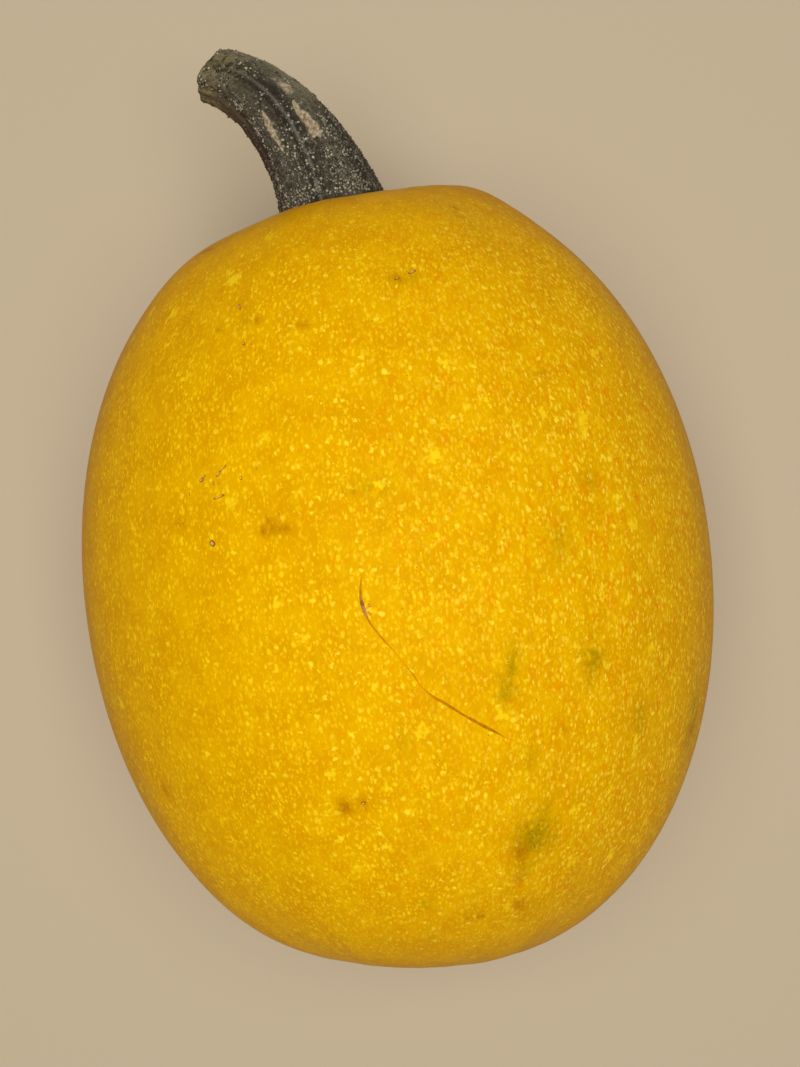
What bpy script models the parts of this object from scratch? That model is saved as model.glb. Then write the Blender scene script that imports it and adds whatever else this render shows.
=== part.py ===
"""A ripe spaghetti squash, cured whole, lying on its side with its dried stalk still on.

Metres, +Z up. +Y runs along the fruit towards the stalk, and the origin is the middle of
the small flat spot that the fruit rests on.
"""

import math

import bmesh
import bpy
from mathutils import Vector

# Driving dimensions of the fruit
FRUIT_LENGTH = 0.1882  # end to end, before the hollow round the stalk
FRUIT_WIDTH = 0.154
FRUIT_HEIGHT = 0.150
REST_DEPTH = 0.0020  # how far the resting spot is pressed into the underside

# The fruit's form
FULLNESS_STALK = 2.40  # of the stalk's half: 2 is an ellipse, and more is fuller towards the end
FULLNESS_BLOSSOM = 2.62
LEAN_STALK = 0.0031  # the shoulder beside the stalk stands higher on +X than on -X
LEAN_STALK_GIRTH = 0.40  # where that is most, as a share of the full girth
LEAN_STALK_SPREAD = 0.16
LEAN_BLOSSOM = 0.0023
LEAN_BLOSSOM_GIRTH = 0.20
LEAN_BLOSSOM_SPREAD = 0.28
RIB_COUNT = 10
RIB_SHARE = 0.006  # shallow ribs near the ends, as a share of the radius
RIB_PEAK = 0.4  # their window, along squared times girth, is widest at this value
HOLLOW_X = 0.0060
HOLLOW_DEPTH = 0.0066  # hollow round the stalk
HOLLOW_RADIUS = 0.0160
HOLLOW_STRETCH = 1.6  # it's longer up and down than across
NAVEL_DEPTH = 0.0012  # dimple of the blossom scar
NAVEL_RADIUS = 0.0060

# The stalk: a Bezier curve through these points, measured from the middle of its root's face
STALK_PATH = (
    (0.0, 0.0, 0.0),
    (-0.0040, 0.0270, 0.0),
    (-0.0130, 0.0406, 0.0020),
    (-0.0258, 0.0446, 0.0040),
)
STALK_ROOT_X = -0.0036
STALK_ROOT_SINK = 0.0100  # from the fruit's end plane down to the root's face
STALK_NECK_RADIUS = 0.0124
STALK_TIP_RADIUS = 0.0068
STALK_TAPER_POWER = 1.5  # above 1, most of the taper is towards the tip
STALK_FLARE = 0.0023  # added to the neck's radius at the root
STALK_FLARE_SHARE = 0.25  # share of the length over which the flare fades
STALK_RIBS = 5
FURROW_SHARE = 0.15  # depth of the furrows between ribs, as a share of the radius
MINOR_RIB_SHARE = 0.07  # the thin rib in each furrow
MINOR_RIB_WIDTH = 0.16  # radians
TWIST_ROOT = math.radians(-11)
TWIST_TIP = math.radians(7)
CUT_SLANT = 0.0030  # the cut leans back by this much towards the outside of the bend
CUT_OVERHANG = 0.0032  # and its top reaches this much further than its sides
CUT_POWER = 4  # how quickly both fade towards the root
SEAT_GAP = 0.0003  # between the stalk's root and its seat in the fruit

# How finely the forms are faceted
FRUIT_SIDES = 60
FRUIT_RINGS = 44
POLE_CROWDING = 0.25  # draws the rings towards the two ends
STALK_SIDES = 60
STALK_RINGS = 22

HALF_LENGTH = FRUIT_LENGTH / 2
HALF_WIDTH = FRUIT_WIDTH / 2
HALF_HEIGHT = FRUIT_HEIGHT / 2
AXIS_HEIGHT = HALF_HEIGHT - REST_DEPTH

RIND_COLOUR = (0.84, 0.41, 0.008, 1.0)
STALK_COLOUR = (0.085, 0.072, 0.048, 1.0)


def bell(distance, width):
    """1 at distance 0, falling smoothly to nothing a few widths away."""
    return math.exp(-((distance / width) ** 2))


def fruit_point(latitude, angle):
    """A point of the rind. Latitude runs from the blossom end to the stalk, and angle from +X to +Z."""
    fullness = FULLNESS_STALK if latitude > 0 else FULLNESS_BLOSSOM
    girth = max(math.cos(latitude), 0.0) ** (2 / fullness)
    along = math.sin(latitude)
    rib = 1 + RIB_SHARE * (along**2 * girth / RIB_PEAK) ** 2 * math.cos(RIB_COUNT * angle)
    x = HALF_WIDTH * girth * math.cos(angle) * rib
    z = HALF_HEIGHT * girth * math.sin(angle) * rib
    y = HALF_LENGTH * along
    if along > 0:
        y += LEAN_STALK * math.cos(angle) * bell(girth - LEAN_STALK_GIRTH, LEAN_STALK_SPREAD)
        y -= HOLLOW_DEPTH * bell(math.hypot(x - HOLLOW_X, z / HOLLOW_STRETCH), HOLLOW_RADIUS)
    else:
        y -= LEAN_BLOSSOM * math.cos(angle) * bell(girth - LEAN_BLOSSOM_GIRTH, LEAN_BLOSSOM_SPREAD)
        y += NAVEL_DEPTH * bell(math.hypot(x, z), NAVEL_RADIUS)
    return Vector((x, y, z + AXIS_HEIGHT))


def stalk_centre(share):
    """The stalk's centreline: share 0 is the root and 1 is the cut."""
    root = Vector((STALK_ROOT_X, HALF_LENGTH - STALK_ROOT_SINK, AXIS_HEIGHT))
    left = 1 - share
    weights = (left**3, 3 * left**2 * share, 3 * left * share**2, share**3)
    return sum((weight * Vector(point) for weight, point in zip(weights, STALK_PATH)), root)


def stalk_radius(share):
    """The radius at the crest of the main ribs."""
    narrowing = (STALK_NECK_RADIUS - STALK_TIP_RADIUS) * max(share, 0) ** STALK_TAPER_POWER
    return STALK_NECK_RADIUS - narrowing + STALK_FLARE * bell(share, STALK_FLARE_SHARE)


def stalk_section(angle):
    """The ribbed outline, as a share of the crest's radius: 0 is a furrow, with a thin rib in it."""
    turn = 2 * math.pi / STALK_RIBS
    from_furrow = (angle + turn / 2) % turn - turn / 2
    furrow = math.cos(STALK_RIBS * angle / 2) ** 2
    return 1 - FURROW_SHARE * furrow + MINOR_RIB_SHARE * bell(from_furrow, MINOR_RIB_WIDTH)


def stalk_point(share, angle, outward, clearance):
    """A point of the stalk. Angle 0 faces up, and outward is 1 on the side and 0 on the centreline."""
    step = 0.01
    centre = stalk_centre(share)
    forward = (stalk_centre(share + step) - stalk_centre(share - step)).normalized()
    right = forward.cross(Vector((0, 0, 1))).normalized()
    up = right.cross(forward)
    twist = TWIST_ROOT + (TWIST_TIP - TWIST_ROOT) * share
    radius = outward * (stalk_radius(share) * stalk_section(angle) + clearance)
    sideways = radius * math.sin(angle + twist)
    upward = radius * math.cos(angle + twist)
    cut = (CUT_OVERHANG * upward - CUT_SLANT * sideways) * share**CUT_POWER / STALK_TIP_RADIUS
    return centre + right * sideways + up * upward + forward * cut


def mesh_object(name, bm, material):
    """A smooth-shaded object made from a bmesh, which is freed."""
    mesh = bpy.data.meshes.new(name)
    bm.to_mesh(mesh)
    bm.free()
    mesh.shade_smooth()
    mesh.set_sharp_from_angle(angle=math.radians(50))
    if material:
        mesh.materials.append(material)
    return bpy.data.objects.new(name, mesh)


def make_fruit(material):
    """A sphere moved onto the rind's form, and cut flat where it rests."""
    bm = bmesh.new()
    bmesh.ops.create_uvsphere(bm, u_segments=FRUIT_SIDES, v_segments=FRUIT_RINGS, radius=1)
    for vertex in bm.verts:
        latitude = math.asin(max(-1.0, min(1.0, vertex.co.z)))
        latitude += POLE_CROWDING * math.sin(2 * latitude)
        vertex.co = fruit_point(latitude, math.atan2(-vertex.co.y, vertex.co.x))
    everything = bm.verts[:] + bm.edges[:] + bm.faces[:]
    cut = bmesh.ops.bisect_plane(
        bm, geom=everything, plane_co=(0, 0, 0), plane_no=(0, 0, -1), clear_outer=True
    )
    rim = [piece for piece in cut["geom_cut"] if isinstance(piece, bmesh.types.BMEdge)]
    bmesh.ops.edgeloop_fill(bm, edges=rim)
    bmesh.ops.recalc_face_normals(bm, faces=bm.faces)
    return mesh_object("fruit", bm, material)


def make_stalk(name, material, clearance=0.0):
    """A cylinder moved onto the ribbed, bent form. Clearance grows it, for cutting its seat."""
    bm = bmesh.new()
    bmesh.ops.create_cone(
        bm, cap_ends=True, cap_tris=True, segments=STALK_SIDES, radius1=1, radius2=1, depth=1
    )
    long_edges = [edge for edge in bm.edges if abs(edge.verts[0].co.z - edge.verts[1].co.z) > 0.5]
    bmesh.ops.subdivide_edges(bm, edges=long_edges, cuts=STALK_RINGS - 1)
    length = Vector(STALK_PATH[-1]).length
    for vertex in bm.verts:
        outward = math.hypot(vertex.co.x, vertex.co.y)
        angle = math.atan2(-vertex.co.x, vertex.co.y)
        share = (vertex.co.z + 0.5) * (1 + clearance / length) - clearance / length
        vertex.co = stalk_point(share, angle, outward, clearance)
    return mesh_object(name, bm, material)


def make_material(name, colour, roughness):
    material = bpy.data.materials.new(name)
    material.use_nodes = True
    shader = material.node_tree.nodes["Principled BSDF"]
    shader.inputs["Base Color"].default_value = colour
    shader.inputs["Roughness"].default_value = roughness
    shader.inputs["Metallic"].default_value = 0.0
    return material


def make_collection(name, *objects):
    collection = bpy.data.collections.new(name)
    bpy.context.scene.collection.children.link(collection)
    for obj in objects:
        collection.objects.link(obj)


def main():
    for obj in list(bpy.data.objects):
        bpy.data.objects.remove(obj, do_unlink=True)
    fruit = make_fruit(make_material("rind", RIND_COLOUR, 0.42))
    stalk = make_stalk("stalk", make_material("dried_stalk", STALK_COLOUR, 0.85))
    seat = make_stalk("stalk_seat_cutter", None, SEAT_GAP)
    seat.hide_render = True
    seat.display_type = "WIRE"
    make_collection("spaghetti_squash", fruit, stalk)
    make_collection("cutters", seat)
    cut_seat = fruit.modifiers.new("stalk_seat", "BOOLEAN")
    cut_seat.operation = "DIFFERENCE"
    cut_seat.solver = "EXACT"
    cut_seat.object = seat


main()
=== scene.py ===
"""Looks of a ripe spaghetti squash that lies on its side with its dried stalk still on.

Metres, +Z up. +Y runs along the fruit towards the stalk, and the floor is at zero. Marks
that the photograph shows are given by their pixel there, and put on the surface by a ray
from the camera.
"""

import math

import bmesh
import bpy
import numpy as np
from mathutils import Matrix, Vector, noise
from mathutils.bvhtree import BVHTree


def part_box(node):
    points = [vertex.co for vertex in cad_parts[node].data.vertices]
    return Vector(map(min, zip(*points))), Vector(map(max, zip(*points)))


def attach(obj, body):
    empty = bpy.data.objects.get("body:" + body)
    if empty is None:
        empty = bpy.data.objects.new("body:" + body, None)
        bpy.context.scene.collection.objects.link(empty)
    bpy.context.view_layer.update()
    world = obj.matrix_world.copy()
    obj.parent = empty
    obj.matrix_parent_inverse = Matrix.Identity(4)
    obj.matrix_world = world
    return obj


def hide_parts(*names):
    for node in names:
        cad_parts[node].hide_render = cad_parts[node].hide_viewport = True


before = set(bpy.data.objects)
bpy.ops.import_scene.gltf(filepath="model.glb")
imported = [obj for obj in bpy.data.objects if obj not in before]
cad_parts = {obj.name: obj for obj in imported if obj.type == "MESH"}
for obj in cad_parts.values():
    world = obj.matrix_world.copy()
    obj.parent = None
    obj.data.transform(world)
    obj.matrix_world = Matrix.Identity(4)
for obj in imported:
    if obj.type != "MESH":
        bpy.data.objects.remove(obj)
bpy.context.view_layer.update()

fruit_low, fruit_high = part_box("fruit")

# The fruit's form, as its solid has it
HALF_WIDTH = (fruit_high.x - fruit_low.x) / 2
HALF_HEIGHT = 0.075
HALF_LENGTH = 0.0941
AXIS_HEIGHT = fruit_high.z - HALF_HEIGHT
FULLNESS_STALK = 2.40  # of the stalk's half: 2 is an ellipse, and more is fuller towards the end
FULLNESS_BLOSSOM = 2.62
LEAN_STALK = 0.0031  # the shoulder beside the stalk stands higher on +X than on -X
LEAN_STALK_GIRTH = 0.40
LEAN_STALK_SPREAD = 0.16
LEAN_BLOSSOM = 0.0023
LEAN_BLOSSOM_GIRTH = 0.20
LEAN_BLOSSOM_SPREAD = 0.28
RIB_COUNT = 10
RIB_SHARE = 0.006
RIB_PEAK = 0.4
HOLLOW_X = 0.0060  # the hollow round the stalk
HOLLOW_DEPTH = 0.0066
HOLLOW_RADIUS = 0.0160
HOLLOW_STRETCH = 1.6
NAVEL_DEPTH = 0.0012  # the dimple of the blossom scar
NAVEL_RADIUS = 0.0060

# The stalk's form, as its solid has it
STALK_PATH = (
    (0.0, 0.0, 0.0),
    (-0.0040, 0.0270, 0.0),
    (-0.0130, 0.0406, 0.0020),
    (-0.0258, 0.0446, 0.0040),
)
STALK_ROOT = np.array((-0.0036, HALF_LENGTH - 0.0100, AXIS_HEIGHT))
STALK_NECK_RADIUS = 0.0124
STALK_TIP_RADIUS = 0.0068
STALK_TAPER_POWER = 1.5
STALK_FLARE = 0.0023
STALK_FLARE_SHARE = 0.25
STALK_RIBS = 5
FURROW_SHARE = 0.15
MINOR_RIB_SHARE = 0.07
MINOR_RIB_WIDTH = 0.16
TWIST_ROOT = math.radians(-11)
TWIST_TIP = math.radians(7)
CUT_SLANT = 0.0030
CUT_OVERHANG = 0.0032
CUT_POWER = 4

# How finely the two large pieces are meshed
FRUIT_SIDES = 384
FRUIT_RINGS = 250
POLE_CROWDING = 0.30
STALK_SIDES = 200
STALK_ROWS = 300

# The camera looks straight down, as the photograph does
PHOTO_WIDTH = 800
PHOTO_HEIGHT = 1067
FOCAL_PIXELS = 1172
SENSOR = 36.0  # millimetres, on the photograph's long side
CAMERA_PLACE = Vector((0.0018, 0.0095, 0.370))
CAMERA_ROLL = math.radians(7.1)

LIGHT_LEVEL = 1.15  # how bright a white surface that faces up comes out, where 1 is white


def tone(red, green, blue):
    """The surface colour that comes out as this one, 0 to 255, where it faces the overhead light.

    A part a little above 255 is for what stays bright where the surface slopes away.
    """
    parts = [part / 255 for part in (red, green, blue)]
    linear = [part / 12.92 if part <= 0.04045 else ((part + 0.055) / 1.055) ** 2.4 for part in parts]
    return (*[part / LIGHT_LEVEL for part in linear], 1.0)


def bell(distance, width):
    """1 at distance 0, falling smoothly to nothing a few widths away."""
    return np.exp(-((distance / width) ** 2))


def lengths(vectors):
    return np.linalg.norm(vectors, axis=-1, keepdims=True)


class Maker:
    """Adds nodes to a new material, with a plain call for each kind that is used here."""

    def __init__(self, name):
        self.material = bpy.data.materials.new(name)
        self.material.use_nodes = True
        self.nodes = self.material.node_tree.nodes
        self.surface = self.nodes["Principled BSDF"]

    def feed(self, socket, value):
        """Links an output to the socket, or sets the socket to a plain value."""
        if isinstance(value, bpy.types.NodeSocket):
            self.material.node_tree.links.new(value, socket)
        else:
            socket.default_value = value

    def add(self, kind, inputs, **settings):
        node = self.nodes.new(kind)
        for name, value in settings.items():
            setattr(node, name, value)
        for key, value in inputs.items():
            self.feed(node.inputs[key], value)
        return node

    def math(self, operation, first, second=0.0, clamp=False):
        inputs = {0: first, 1: second}
        return self.add("ShaderNodeMath", inputs, operation=operation, use_clamp=clamp).outputs[0]

    def times(self, first, second):
        return self.math("MULTIPLY", first, second, clamp=True)

    def vector(self, operation, first, second):
        return self.add("ShaderNodeVectorMath", {0: first, 1: second}, operation=operation).outputs[0]

    def blend(self, share, first, second):
        """The first colour, turning to the second as share goes from 0 to 1."""
        return self.add("ShaderNodeMix", {0: share, 6: first, 7: second}, data_type="RGBA").outputs[2]

    def step(self, value, start, end):
        """0 at start, rising smoothly to 1 at end. The end may be the lower of the two."""
        inputs = {"Value": value, "From Min": start, "From Max": end}
        return self.add("ShaderNodeMapRange", inputs, interpolation_type="SMOOTHSTEP").outputs[0]

    def attribute(self, name, output="Fac"):
        return self.add("ShaderNodeAttribute", {}, attribute_name=name).outputs[output]

    def cloud(self, where, size, detail=2.0, roughness=0.5, output="Fac"):
        """Noise whose features are about size metres."""
        inputs = {"Vector": where, "Scale": 1 / size, "Detail": detail, "Roughness": roughness}
        return self.add("ShaderNodeTexNoise", inputs).outputs[output]

    def warp(self, where, size, amount):
        """The coordinates, pushed about by up to amount metres with noise of that size."""
        push = self.vector("SUBTRACT", self.cloud(where, size, output="Color"), (0.5, 0.5, 0.5))
        return self.vector("ADD", where, self.vector("MULTIPLY", push, (amount * 2,) * 3))

    def cells(self, where, spacing, seed):
        """For cells of that spacing: the share of it from the middle, and two random numbers."""
        place = self.vector("ADD", where, (seed, seed, seed))
        cell = self.add("ShaderNodeTexVoronoi", {"Vector": place, "Scale": 1 / spacing})
        chances = self.add("ShaderNodeSeparateColor", {0: cell.outputs["Color"]}).outputs
        return cell.outputs["Distance"], chances[0], chances[1]

    def range(self, value, low, high):
        """Takes a value from 0 to 1 to one from low to high."""
        return self.math("ADD", self.math("MULTIPLY", value, high - low), low)

    def spots(self, where, spacing, radius, seed, least=0.3, faintest=1.0, edge=0.2):
        """Soft spots of up to radius metres. Least is the smallest one's share of it, and faintest
        is the weakest one's strength."""
        distance, size_chance, strength_chance = self.cells(where, spacing, seed)
        top = radius / spacing
        size = self.range(size_chance, top * least, top)
        spot = self.step(distance, size, self.math("MULTIPLY", size, edge))
        return self.times(spot, self.range(strength_chance, faintest, 1.0))

    def bump(self, height, distance, strength=1.0, normal=None):
        inputs = {"Height": height, "Distance": distance, "Strength": strength}
        if normal:
            inputs["Normal"] = normal
        return self.add("ShaderNodeBump", inputs).outputs[0]

    def place(self):
        """The piece's own coordinates."""
        return self.add("ShaderNodeTexCoord", {}).outputs["Object"]

    def finish(self, colour, roughness, shine):
        self.feed(self.surface.inputs["Base Color"], colour)
        self.feed(self.surface.inputs["Roughness"], roughness)
        self.surface.inputs["Specular IOR Level"].default_value = shine
        return self.material


def coordinates(mesh):
    values = np.empty(len(mesh.vertices) * 3)
    mesh.vertices.foreach_get("co", values)
    return values.reshape(-1, 3)


def set_coordinates(mesh, points):
    mesh.vertices.foreach_set("co", points.ravel())
    mesh.update()


def store(mesh, name, values):
    """Stores a number or a vector for each vertex, for the shaders to read."""
    vector = values.ndim == 2
    attribute = mesh.attributes.new(name, "FLOAT_VECTOR" if vector else "FLOAT", "POINT")
    attribute.data.foreach_set("vector" if vector else "value", values.astype(np.float32).ravel())


def add_piece(name, mesh, material, replaces=None):
    """Links a smooth-shaded piece that rides on the one body."""
    piece = bpy.data.objects.new(name, mesh)
    bpy.context.scene.collection.objects.link(piece)
    mesh.shade_smooth()
    mesh.materials.append(material)
    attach(piece, "root")
    if replaces:
        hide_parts(replaces)


def noise_at(points, size, seed):
    """Noise from -1 to 1 whose features are about size metres, at each of an array's points."""
    shift = Vector((seed, seed, seed))
    return np.array([noise.noise(Vector(point) / size + shift) for point in points])


def surface_tree(mesh):
    """The mesh's faces, ready for rays."""
    polygons = [tuple(polygon.vertices) for polygon in mesh.polygons]
    return BVHTree.FromPolygons([vertex.co for vertex in mesh.vertices], polygons)


def seen_at(tree, pixel):
    """Where a ray through a pixel of the photograph meets a surface, and the normal there."""
    right = Vector((math.cos(CAMERA_ROLL), -math.sin(CAMERA_ROLL), 0))
    up = Vector((math.sin(CAMERA_ROLL), math.cos(CAMERA_ROLL), 0))
    across = (pixel[0] - PHOTO_WIDTH / 2) / FOCAL_PIXELS
    above = (PHOTO_HEIGHT / 2 - pixel[1]) / FOCAL_PIXELS
    place, normal, _, _ = tree.ray_cast(CAMERA_PLACE, right * across + up * above - Vector((0, 0, 1)))
    return np.array(place), np.array(normal)


def smooth_path(points, steps):
    """The points, with more between them on a smooth curve that passes through them all."""
    points = np.array(points, dtype=float)
    ends = np.vstack((2 * points[0] - points[1], points, 2 * points[-1] - points[-2]))
    path = []
    for before, start, end, after in zip(ends, ends[1:], ends[2:], ends[3:]):
        for at in np.arange(steps) / steps:
            bend = (2 * before - 5 * start + 4 * end - after) * at**2
            twist = (3 * start - before - 3 * end + after) * at**3
            path.append(start + 0.5 * ((end - before) * at + bend + twist))
    path.append(points[-1])
    return np.array(path)


FULLER_POWER = 0.75


def fuller(value):
    """A cosine or sine changed so that an outline made with both is fuller than an ellipse."""
    return math.copysign(abs(value) ** FULLER_POWER, value)


def bump_mesh(name, places, axes, long_axes, radii, heights, strengths, profile, middle, sides):
    """One mesh of many small closed bumps, each with its foot sunk in what it stands on.

    Radii are a pair for each bump: along its long axis and across it. The profile gives each
    ring's share of the radius and of the height, and middle is the top's share of the height.
    """
    across = np.cross(axes, long_axes)
    across /= lengths(across)
    along = np.cross(across, axes)
    rings = []
    for width, rise in profile:
        for turn in np.arange(sides) * 2 * math.pi / sides:
            outward = along * radii[:, :1] * fuller(math.cos(turn))
            outward += across * radii[:, 1:] * fuller(math.sin(turn))
            rings.append(places + outward * width + axes * (heights * rise)[:, None])
    top = places + axes * (heights * middle)[:, None]
    vertices = np.stack(rings + [top], axis=1)
    block = vertices.shape[1]
    faces = [tuple(reversed(range(sides)))]
    for corner in range(sides):
        following = (corner + 1) % sides
        for low in range(0, block - 1 - sides, sides):
            faces.append((low + corner, low + following, low + sides + following, low + sides + corner))
        faces.append((block - 1 - sides + corner, block - 1 - sides + following, block - 1))
    starts = range(0, len(places) * block, block)
    every = [tuple(start + index for index in face) for start in starts for face in faces]
    mesh = bpy.data.meshes.new(name)
    mesh.from_pydata(vertices.reshape(-1, 3).tolist(), [], every)
    level = np.repeat([width for width, _ in profile], sides).tolist() + [0.0]
    store(mesh, "inward", np.tile(1 - np.clip(level, 0, 1), len(places)))
    store(mesh, "strength", np.repeat(strengths, block))
    return mesh


# The fruit


def fruit_points(latitude, angle):
    """Points of the rind, and their share of the full girth, from arrays of latitudes and angles."""
    stalk_half = latitude > 0
    fullness = np.where(stalk_half, FULLNESS_STALK, FULLNESS_BLOSSOM)
    girth = np.maximum(np.cos(latitude), 0) ** (2 / fullness)
    along = np.sin(latitude)
    rib = 1 + RIB_SHARE * (along**2 * girth / RIB_PEAK) ** 2 * np.cos(RIB_COUNT * angle)
    x = HALF_WIDTH * girth * np.cos(angle) * rib
    z = HALF_HEIGHT * girth * np.sin(angle) * rib
    lean_stalk = LEAN_STALK * np.cos(angle) * bell(girth - LEAN_STALK_GIRTH, LEAN_STALK_SPREAD)
    lean_blossom = LEAN_BLOSSOM * np.cos(angle) * bell(girth - LEAN_BLOSSOM_GIRTH, LEAN_BLOSSOM_SPREAD)
    hollow = HOLLOW_DEPTH * bell(np.hypot(x - HOLLOW_X, z / HOLLOW_STRETCH), HOLLOW_RADIUS)
    navel = NAVEL_DEPTH * bell(np.hypot(x, z), NAVEL_RADIUS)
    y = HALF_LENGTH * along + np.where(stalk_half, lean_stalk - hollow, navel - lean_blossom)
    return np.stack((x, y, z + AXIS_HEIGHT), axis=-1), girth


FLAT_SOFTNESS = 0.0003  # rounds the edge of the resting spot
END_STRETCH = 0.5  # flecks are up to this much longer, along the fruit, near its ends
FADE_HEIGHT = 0.028  # above the axis: the flecks get fainter here, down the sides
FADE_DEPTH = 0.014
FADE_SHARE = 0.6
MERIDIAN_STEPS = 3000


def skin_coordinates(latitude, angle, girth):
    """Coordinates that follow the rind along its meridians, so that flecks are longer near its ends."""
    table = np.linspace(-math.pi / 2, math.pi / 2, MERIDIAN_STEPS)
    meridian, table_girth = fruit_points(table, np.full_like(table, math.pi / 2))
    steps = lengths(np.diff(meridian, axis=0))[:, 0] * (1 - END_STRETCH * (1 - table_girth[1:]))
    along = np.interp(latitude, table, np.concatenate(([0], np.cumsum(steps))))
    radius = HALF_WIDTH * np.sqrt(girth)
    return np.stack((radius * np.cos(angle), along, radius * np.sin(angle)), axis=-1)


# Marks of the visible side: pixel, half-width across, half-length along, strength
GREEN_SMUDGES = (
    ((535, 836), 0.0046, 0.0060, 1.0),
    ((527, 862), 0.0022, 0.0034, 0.6),
    ((545, 812), 0.0020, 0.0034, 0.5),
    ((530, 910), 0.0024, 0.0050, 0.35),
    ((593, 655), 0.0026, 0.0034, 1.0),
    ((588, 675), 0.0014, 0.0024, 0.6),
    ((514, 668), 0.0016, 0.0042, 1.0),
    ((505, 690), 0.0018, 0.0028, 0.9),
    ((692, 722), 0.0040, 0.0066, 0.9),
    ((640, 718), 0.0030, 0.0040, 0.4),
    ((374, 487), 0.0028, 0.0022, 0.5),
    ((350, 491), 0.0013, 0.0013, 0.6),
    ((560, 541), 0.0032, 0.0046, 0.45),
    ((590, 480), 0.0020, 0.0024, 0.5),
    ((404, 277), 0.0032, 0.0016, 0.6),
    ((532, 757), 0.0018, 0.0030, 0.4),
    ((403, 745), 0.0014, 0.0028, 0.35),
    ((424, 905), 0.0018, 0.0024, 0.45),
    ((244, 322), 0.0016, 0.0016, 0.4),
)
BROWN_SMUDGES = (
    ((264, 532.5), 0.0013, 0.0007, 1.0),
    ((272, 533), 0.0013, 0.0008, 1.0),
    ((270.5, 524), 0.0009, 0.0013, 0.9),
    ((266.5, 519), 0.0009, 0.0009, 0.8),
    ((284, 527), 0.0014, 0.0006, 1.0),
    ((345, 807), 0.0015, 0.0018, 1.0),
    ((363, 803), 0.0010, 0.0010, 1.0),
    ((303, 324), 0.0016, 0.0010, 0.6),
    ((258, 319), 0.0010, 0.0010, 0.7),
    ((220, 328), 0.0008, 0.0008, 0.7),
    ((242, 303), 0.0006, 0.0016, 0.5),
    ((541, 372), 0.0016, 0.0006, 0.6),
    ((180, 525), 0.0011, 0.0004, 1.0),
    ((221, 524), 0.0003, 0.0003, 1.0),
    ((208, 250), 0.0024, 0.0006, 0.8),
    ((165, 790), 0.0012, 0.0014, 0.6),
    ((455, 208), 0.0008, 0.0006, 0.8),
    ((397, 279), 0.0006, 0.0005, 1.0),
    ((468, 918), 0.0006, 0.0005, 1.0),
    ((481, 916), 0.0009, 0.0007, 1.0),
    ((531, 640), 0.0005, 0.0008, 0.8),
    ((563, 727), 0.0006, 0.0007, 0.9),
    ((520, 851), 0.0013, 0.0052, 0.8),
    ((520, 878), 0.0013, 0.0050, 0.5),
    ((519, 905), 0.0013, 0.0080, 0.6),
)


# Smudges of the side that the photograph doesn't show, each drawn at random from these ranges
HIDDEN_GREEN_SMUDGES = 16
HIDDEN_BROWN_SMUDGES = 24
SMUDGE_LATITUDES = (-1.1, 1.1)
SMUDGE_ANGLES = (1.05, 1.95)  # in half turns
SMUDGE_HALF_WIDTHS = (0.0010, 0.0035)
SMUDGE_HALF_LENGTHS = (0.0012, 0.0050)
SMUDGE_STRENGTHS = (0.3, 1.0)


def shown_smudges(tree, smudges):
    """The smudges with their places on the rind in place of their pixels."""
    return [(seen_at(tree, pixel)[0], *rest) for pixel, *rest in smudges]


def hidden_smudges(count, seed):
    draw = np.random.default_rng(seed)
    latitude = draw.uniform(*SMUDGE_LATITUDES, count)
    angle = draw.uniform(*SMUDGE_ANGLES, count) * math.pi
    centres, _ = fruit_points(latitude, angle)
    across = draw.uniform(*SMUDGE_HALF_WIDTHS, count)
    along = draw.uniform(*SMUDGE_HALF_LENGTHS, count)
    return list(zip(centres, across, along, draw.uniform(*SMUDGE_STRENGTHS, count)))


def smudge_mask(points, smudges):
    """How deep each point lies in the smudges, from 0 to 1."""
    mask = np.zeros(len(points))
    for centre, across, along, strength in smudges:
        away = points - centre
        sideways = np.hypot(away[:, 0], away[:, 2]) / across
        mask = np.maximum(mask, strength * bell(np.hypot(sideways, away[:, 1] / along), 1.0))
    return mask


class RindMaker(Maker):
    """Has the coordinates and masks that the layers of the rind's colour share."""

    def __init__(self):
        super().__init__("rind")
        self.skin = self.attribute("skin", "Vector")
        self.crisp = self.attribute("crisp")
        self.side = self.attribute("side")
        self.paler = self.step(self.side, -0.1, 0.4)
        self.streaky = self.drawn_out(0.62)
        self.loose = self.warp(self.streaky, 0.0011, 0.00024)
        self.roundish = self.warp(self.skin, 0.0010, 0.00075)

    def drawn_out(self, share):
        """Coordinates for marks that are longer along the fruit: the smaller the share, the longer."""
        return self.vector("MULTIPLY", self.skin, (1.0, share, 1.0))


def rind_ground(m):
    """Mottled, faintly streaked along the meridians, warmer in places, and darker lower down as painted
    shade.
    """
    mottle = m.step(m.cloud(m.skin, 0.008, 4.0), 0.38, 0.62)
    colour = m.blend(mottle, tone(235, 170, 0), tone(243, 182, 0))
    warm = m.step(m.cloud(m.streaky, 0.0024, 3.0), 0.50, 0.68)
    warm = m.times(m.times(warm, m.crisp), m.range(m.side, 0.14, 1.0))
    colour = m.blend(warm, colour, tone(243, 157, 0))
    streaks = m.step(m.cloud(m.drawn_out(0.12), 0.0013, 2.0), 0.48, 0.70)
    colour = m.blend(m.times(streaks, 0.45), colour, tone(248, 189, 0))
    dull = m.step(m.cloud(m.drawn_out(0.4), 0.0055, 3.0), 0.50, 0.70)
    colour = m.blend(m.times(dull, m.range(m.crisp, 0.5, 0.12)), colour, tone(208, 160, 0))
    # Painted shade: the rind gets darker the nearer it lies to the floor, standing in for the shade of
    # the lower sides.
    return m.blend(m.attribute("low"), colour, tone(206, 127, 0))


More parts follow.
